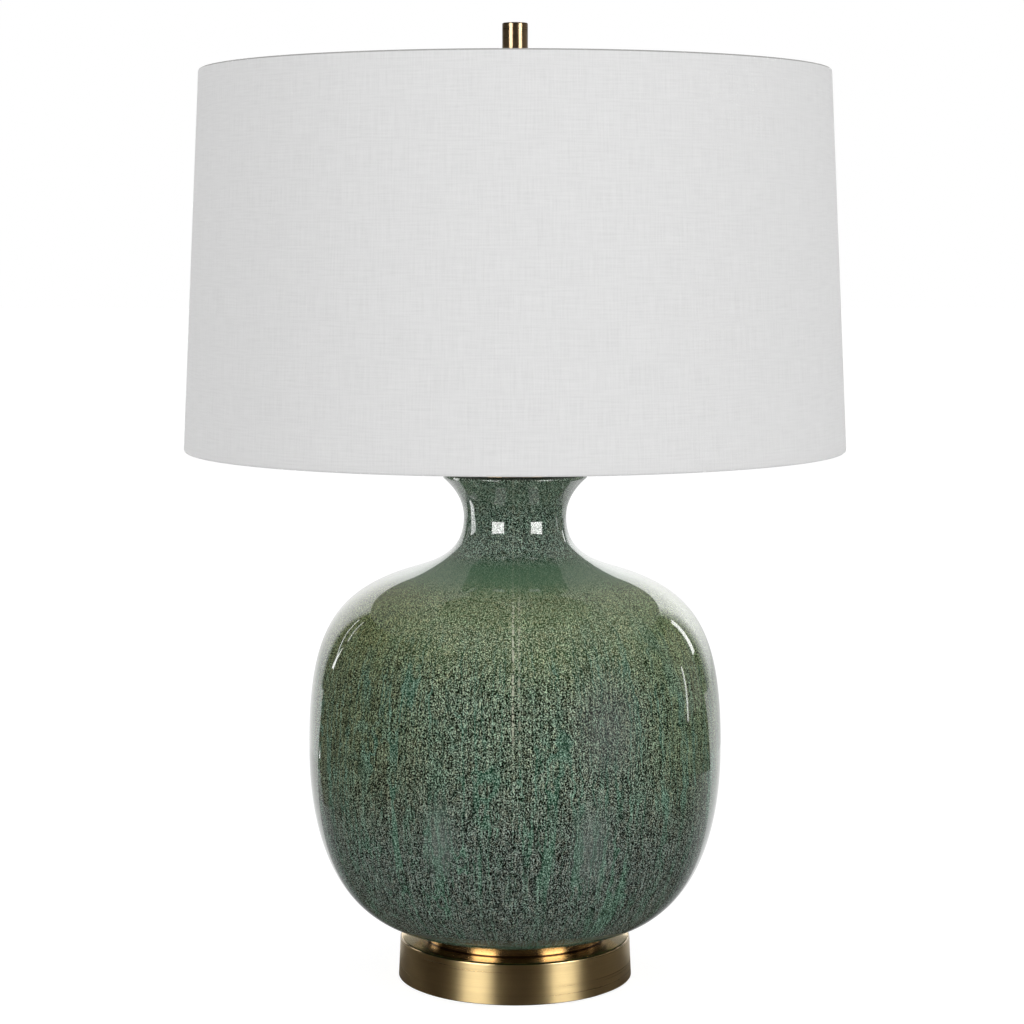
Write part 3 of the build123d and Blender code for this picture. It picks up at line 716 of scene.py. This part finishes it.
# Painted shadow lines at the collar's lower and upper ends
collar_brass = brass(
    "collar_brass", rough=0.24, brushed=0.6, tone=(140, 118, 84),
    shade_bands=((collar_low, collar_low + 0.7 * mm), (collar_high - 0.7 * mm, collar_high)),
)
finial_brass = brass("finial_brass", rough=0.30, brushed=0.92, tone=(140, 121, 96))
cap_brass = brass("cap_brass", rough=0.30, brushed=0.5, tone=(120, 100, 70))
plated_brass = brass("plated_brass", rough=0.24, brushed=0.3)
felt = speckled("felt", (38, 40, 36), (64, 66, 58), scale=1400, rough=0.95, strength=0.6, depth=0.0004)
fibreboard = speckled("fibreboard", (104, 76, 48), (146, 112, 76), scale=500, rough=0.8)
cast_iron = speckled(
    "cast_iron", (46, 46, 48), (78, 78, 80), scale=400, rough=0.6, metal=0.8, strength=0.5, depth=0.0003,
)
zinc_steel = speckled("zinc_steel", (150, 152, 154), (192, 194, 196), scale=300, rough=0.35, metal=1.0)
rubber = speckled("gasket_rubber", (14, 14, 14), (30, 30, 30), scale=900, rough=0.7)
plastic = speckled("bushing_plastic", (22, 20, 18), (36, 34, 32), scale=700, rough=0.5)
paper = speckled("socket_card", (120, 104, 82), (158, 140, 114), scale=900, rough=0.85)
phenolic = speckled("phenolic", (14, 12, 11), (32, 26, 22), scale=260, rough=0.28)
contact = speckled("contact_metal", (176, 150, 98), (214, 192, 142), scale=420, rough=0.3, metal=1.0)
cap_metal = speckled("bulb_cap_metal", (176, 178, 180), (212, 212, 212), scale=420, rough=0.28, metal=1.0)
insulator = speckled("bulb_insulator", (10, 10, 12), (26, 26, 28), scale=600, rough=0.2)
glass = speckled("bulb_glass", (238, 238, 235), (243, 243, 240), scale=70, rough=0.3, strength=0.03)
styrene = speckled("shade_styrene", (232, 231, 226), (242, 241, 237), scale=160, rough=0.45, strength=0.05)
spider_steel = speckled("spider_steel", (196, 190, 176), (222, 216, 202), scale=380, rough=0.32, metal=1.0)

dress(plinth_brass, "base_plinth")
dress(collar_brass, "base_collar")
dress(finial_brass, "finial")
dress(cap_brass, "vase_cap", "neck_tube")
dress(plated_brass, "harp_wire", "harp_saddle", "harp_stud", "harp_sleeve_left", "harp_sleeve_right")
dress(plated_brass, "socket_cap", "socket_shell")
dress(felt, "felt_pad")
dress(fibreboard, "bottom_cover")
dress(cast_iron, "base_weight")
dress(zinc_steel, "flat_washer", "lock_washer", "hex_nut", "threaded_rod", "terminal_screws")
dress(rubber, "foot_gasket")
dress(plastic, "cord_bushing")
dress(paper, "socket_liner")
dress(phenolic, "socket_interior", "switch_knob")
dress(contact, "screw_shell", "center_contact")
dress(cap_metal, "bulb_cap")
dress(insulator, "bulb_contact")
dress(glass, "bulb_globe")
dress(styrene, "shade_liner")
dress(spider_steel, "shade_top_ring", "shade_bottom_ring", "spider_arms", "spider_hub")


# Studio
unfaded = (1.0, 1.0)
floor_reach = 20.0
floor_drop = 0.2 * mm
floor_pale = (0.8, 0.8, 0.8, 1)
floor_faint = (0.22, 0.22, 0.22, 1)
floor_glow = 0.90


def staged(name, corners, faces, material, levels=None):
    """A stage mesh, which isn't part of the lamp. Levels are the shares of its glow at its corners."""
    mesh = bpy.data.meshes.new(name)
    mesh.from_pydata(corners, [], faces)
    mesh.materials.append(material)
    shares = mesh.attributes.new("level", "FLOAT", "POINT").data
    for share, level in zip(shares, levels or [1.0] * len(corners)):
        share.value = level
    card = bpy.data.objects.new(name, mesh)
    bpy.context.scene.collection.objects.link(card)
    return card


def glow(name, colour, strength):
    """Plain light, which no lamp sampling looks for: only rays that meet it see it."""
    material = bpy.data.materials.new(name)
    material.use_nodes = True
    tree = material.node_tree
    tree.nodes.clear()
    level = tree.nodes.new("ShaderNodeAttribute")
    level.attribute_name = "level"
    scaled = tree.nodes.new("ShaderNodeMath")
    scaled.operation = "MULTIPLY"
    scaled.inputs[1].default_value = strength
    light = tree.nodes.new("ShaderNodeEmission")
    light.inputs["Color"].default_value = colour
    end = tree.nodes.new("ShaderNodeOutputMaterial")
    tree.links.new(level.outputs["Fac"], scaled.inputs[0])
    tree.links.new(scaled.outputs[0], light.inputs["Strength"])
    tree.links.new(light.outputs[0], end.inputs["Surface"])
    material.cycles.emission_sampling = "NONE"
    return material


def mirrored_only(card):
    """Show a card to reflections and nothing else."""
    card.visible_camera = False
    card.visible_diffuse = False
    card.visible_transmission = False
    card.visible_shadow = False
    card.visible_volume_scatter = False


def screen(name, low, high, first, last, material, lean=0.0, fade=unfaded, rise=unfaded, steps=24):
    """A curved card about the lamp's axis between two edges, each at a (radius, height).

    Angles in degrees run from the front towards the right, and the high edge is turned on by the lean. The
    shares of its glow are given at the first and last angle (fade) and at the low and high edge (rise).
    """
    corners, levels = [], []
    for k in range(steps + 1):
        share = k / steps
        angle = first + (last - first) * share
        for (radius, height), turn, level in ((low, angle, rise[0]), (high, angle + lean, rise[1])):
            corners.append((*around_at(radius, turn), height))
            levels.append(level * (fade[0] + (fade[1] - fade[0]) * share))
    faces = [(2 * k, 2 * k + 2, 2 * k + 3, 2 * k + 1) for k in range(steps)]
    mirrored_only(staged(name, corners, faces, material, levels))


def ribbon(name, radius, stations, material):
    """An upright card at one radius through stations, each a height with its first and last angle."""
    corners = []
    for height, first, last in stations:
        corners += [(*around_at(radius, angle), height) for angle in (first, last)]
    faces = [(2 * k, 2 * k + 1, 2 * k + 3, 2 * k + 2) for k in range(len(stations) - 1)]
    mirrored_only(staged(name, corners, faces, material))


def around_at(radius, angle):
    """The place at a radius and an angle from the front towards the right."""
    turn = math.radians(angle)
    return radius * math.sin(turn), -radius * math.cos(turn)


def floor():
    """A pale floor, white to the eye, that keeps a faint shadow and is clear from below."""
    f = Finish("floor")
    nodes, links = f.tree.nodes, f.tree.links
    path = f.node("ShaderNodeLightPath")
    seen = f.math("MAXIMUM", path.outputs["Is Camera Ray"], path.outputs["Is Glossy Ray"])
    seen = f.math("MAXIMUM", seen, path.outputs["Is Transmission Ray"])
    pale = f.node("ShaderNodeBsdfDiffuse")
    pale.inputs["Color"].default_value = floor_pale
    faint = f.node("ShaderNodeBsdfDiffuse")
    faint.inputs["Color"].default_value = floor_faint
    white = f.node("ShaderNodeEmission")
    white.inputs["Strength"].default_value = floor_glow
    lit = f.node("ShaderNodeAddShader")
    links.new(faint.outputs[0], lit.inputs[0])
    links.new(white.outputs[0], lit.inputs[1])
    both = f.node("ShaderNodeMixShader")
    links.new(seen, both.inputs[0])
    links.new(pale.outputs[0], both.inputs[1])
    links.new(lit.outputs[0], both.inputs[2])
    clear = f.node("ShaderNodeBsdfTransparent")
    one_sided = f.node("ShaderNodeMixShader")
    links.new(f.node("ShaderNodeNewGeometry").outputs["Backfacing"], one_sided.inputs[0])
    links.new(both.outputs[0], one_sided.inputs[1])
    links.new(clear.outputs[0], one_sided.inputs[2])
    links.new(one_sided.outputs[0], nodes["Material Output"].inputs["Surface"])
    f.material.cycles.emission_sampling = "NONE"
    nodes.remove(f.shader)
    signs = ((-1, -1), (1, -1), (1, 1), (-1, 1))
    corners = [(x * floor_reach, y * floor_reach, -floor_drop) for x, y in signs]
    staged("floor", corners, [(0, 1, 2, 3)], f.material)


def studio_world(ambient):
    """White to the eye, to reflections and through glass; a plain level of light for the rest."""
    world = bpy.data.worlds.new("studio")
    bpy.context.scene.world = world
    world.use_nodes = True
    tree = world.node_tree
    back = tree.nodes["Background"]
    path = tree.nodes.new("ShaderNodeLightPath")
    seen = path.outputs["Is Camera Ray"]
    for kind in ("Is Glossy Ray", "Is Transmission Ray"):
        joined = tree.nodes.new("ShaderNodeMath")
        joined.operation = "MAXIMUM"
        tree.links.new(seen, joined.inputs[0])
        tree.links.new(path.outputs[kind], joined.inputs[1])
        seen = joined.outputs[0]
    level = tree.nodes.new("ShaderNodeMapRange")
    tree.links.new(seen, level.inputs["Value"])
    level.inputs["To Min"].default_value = ambient
    level.inputs["To Max"].default_value = 1.0
    tree.links.new(level.outputs[0], back.inputs["Strength"])
    back.inputs["Color"].default_value = (1, 1, 1, 1)


def softlight(name, place, target, size, watts):
    """A square studio light that doesn't show in the gloss."""
    lamp = bpy.data.lights.new(name, "AREA")
    lamp.shape = "SQUARE"
    lamp.size = size
    lamp.energy = watts
    holder = bpy.data.objects.new(name, lamp)
    holder.location = place
    holder.rotation_euler = (Vector(target) - Vector(place)).to_track_quat("-Z", "Y").to_euler()
    holder.visible_glossy = False
    bpy.context.scene.collection.objects.link(holder)


floor()
studio_world(0.66)
lamp_middle = (0, 0, 0.36)
softlight("key", (-1.5, -2.0, 1.5), lamp_middle, 1.4, 8.0)
softlight("fill", (1.6, -2.0, 1.4), lamp_middle, 1.4, 12.5)
softlight("top", (0, -0.3, 2.4), lamp_middle, 1.6, 3.0)

# What the gloss and the brass mirror: a dark room with two softboxes in front, strips at the sides and white
# behind
dim = glow("dim_flag", (1.0, 0.84, 0.66, 1), 0.06)
half_lit = glow("side_card", (1.0, 0.90, 0.78, 1), 0.36)
bright = glow("softbox", (1.0, 1.0, 0.98, 1), 15.5)
strip = glow("strip", (1, 1, 1, 1), 6.0)
white = glow("backdrop", (1, 1, 1, 1), 2.0)
table_height = 0.5 * mm
over_table = 2 * table_height
room_radius = 3.2
ceiling_height = 3.5
belly_radius = 0.21
belly_low = 0.10
high_radius = 0.60
strip_radius = 0.42
edge_radius = 1.3
softbox_radius = 1.8
softbox_low = 0.19
softbox_high = 1.10
side_radius = 2.5
backdrop_radius = 3.0
backdrop_joint = 0.9
backdrop_top = 2.2

# Table, dark to the front and sides and pale behind
screen("table_flag", (0.05, table_height), (room_radius, table_height), -133, 130, dim, steps=64)
screen("near_flag", (0.05, table_height), (0.15, table_height), 130, 227, dim)
for name, first, last, fade in (
    ("side_table_left", -133, -108, (0.28, 0.03)),
    ("side_table_right", 100, 130, (0.03, 0.30)),
):
    screen(name, (0.10, over_table), (0.80, over_table), first, last, white, fade=fade)
for name, first, last, fade in (
    ("far_table_right", 146, 172, (0.48, 0.34)),
    ("far_table", 172, 188, (0.34, 0.34)),
    ("far_table_left", 188, 202, (0.34, 0.58)),
    ("far_table_side", 202, 227, (0.58, 0.62)),
):
    screen(name, (0.9, table_height), (room_radius, table_height), first, last, white, fade=fade)

# Dark room, and dark cards round the belly and behind the finial
screen("front_flag", (room_radius, -1.0), (room_radius, ceiling_height), -151, 157, dim, steps=64)
ceiling_edge = (room_radius + 0.1, ceiling_height)
screen("ceiling_flag", (0.01, ceiling_height), ceiling_edge, -180, 180, dim, steps=64)
screen("belly_flag", (belly_radius, belly_low), (belly_radius, 0.306), -91.5, 72, dim, steps=48)
screen("belly_flag_low", (belly_radius, belly_low), (belly_radius, 0.234), -98, -91.5, dim)
screen("high_flag", (high_radius, 0.66), (high_radius, 1.30), 120, 240, dim)

# Lights in front and strips at the sides
for name, first, last in (("softbox_left", -52, -24), ("softbox_right", 35, 62)):
    screen(name, (softbox_radius, softbox_low), (softbox_radius, softbox_high), first, last, bright)
screen("side_card", (side_radius, -0.2), (side_radius, 1.5), 84, 126, half_lit)
ribbon("strip_left", strip_radius, (
    (0.098, -120.5, -113), (0.12, -119, -108), (0.163, -116, -103), (0.26, -113, -100),
    (0.322, -110, -94), (0.374, -109, -93), (0.400, -110, -102),
), strip)
for name, low, high, first, last, lean in (
    ("edge_left_outer", 0.34, 0.84, -123.2, -122.5, -9.5),
    ("edge_left_inner", 0.34, 0.92, -116.6, -115.9, -10.7),
    ("edge_right", 0.40, 0.83, 124.0, 128.0, 5),
    ("edge_right_low", 0.083, 0.43, 105.2, 106.6, 1.8),
):
    screen(name, (edge_radius, low), (edge_radius, high), first, last, strip, lean)

# White backdrop, which fades at its ends and towards the table
for name, first, last, fade, start in (
    ("left_edge", -141, -136, (0.88, 0.03), 0.62),
    ("left", -168, -141, (0.88, 0.88), 0.62),
    ("middle", 168, 192, (1.0, 0.88), 0.48),
    ("right", 146, 168, (1.45, 1.0), 0.44),
    ("right_edge", 133, 146, (0.03, 1.45), 0.44),
):
    low, joint, high = ((backdrop_radius, height) for height in (0.0, backdrop_joint, backdrop_top))
    screen("backdrop_low_" + name, low, joint, first, last, white, fade=fade, rise=(start, 1.0))
    screen("backdrop_high_" + name, joint, high, first, last, white, fade=fade)

eye = bpy.data.cameras.new("camera")
eye.lens = lens_mm
eye.sensor_width = sensor_mm
camera = bpy.data.objects.new("camera", eye)
camera.location = camera_place
camera.rotation_euler = (math.pi / 2 - camera_tilt, 0, 0)
bpy.context.scene.collection.objects.link(camera)
bpy.context.scene.camera = camera
bpy.context.scene.view_settings.view_transform = "Standard"
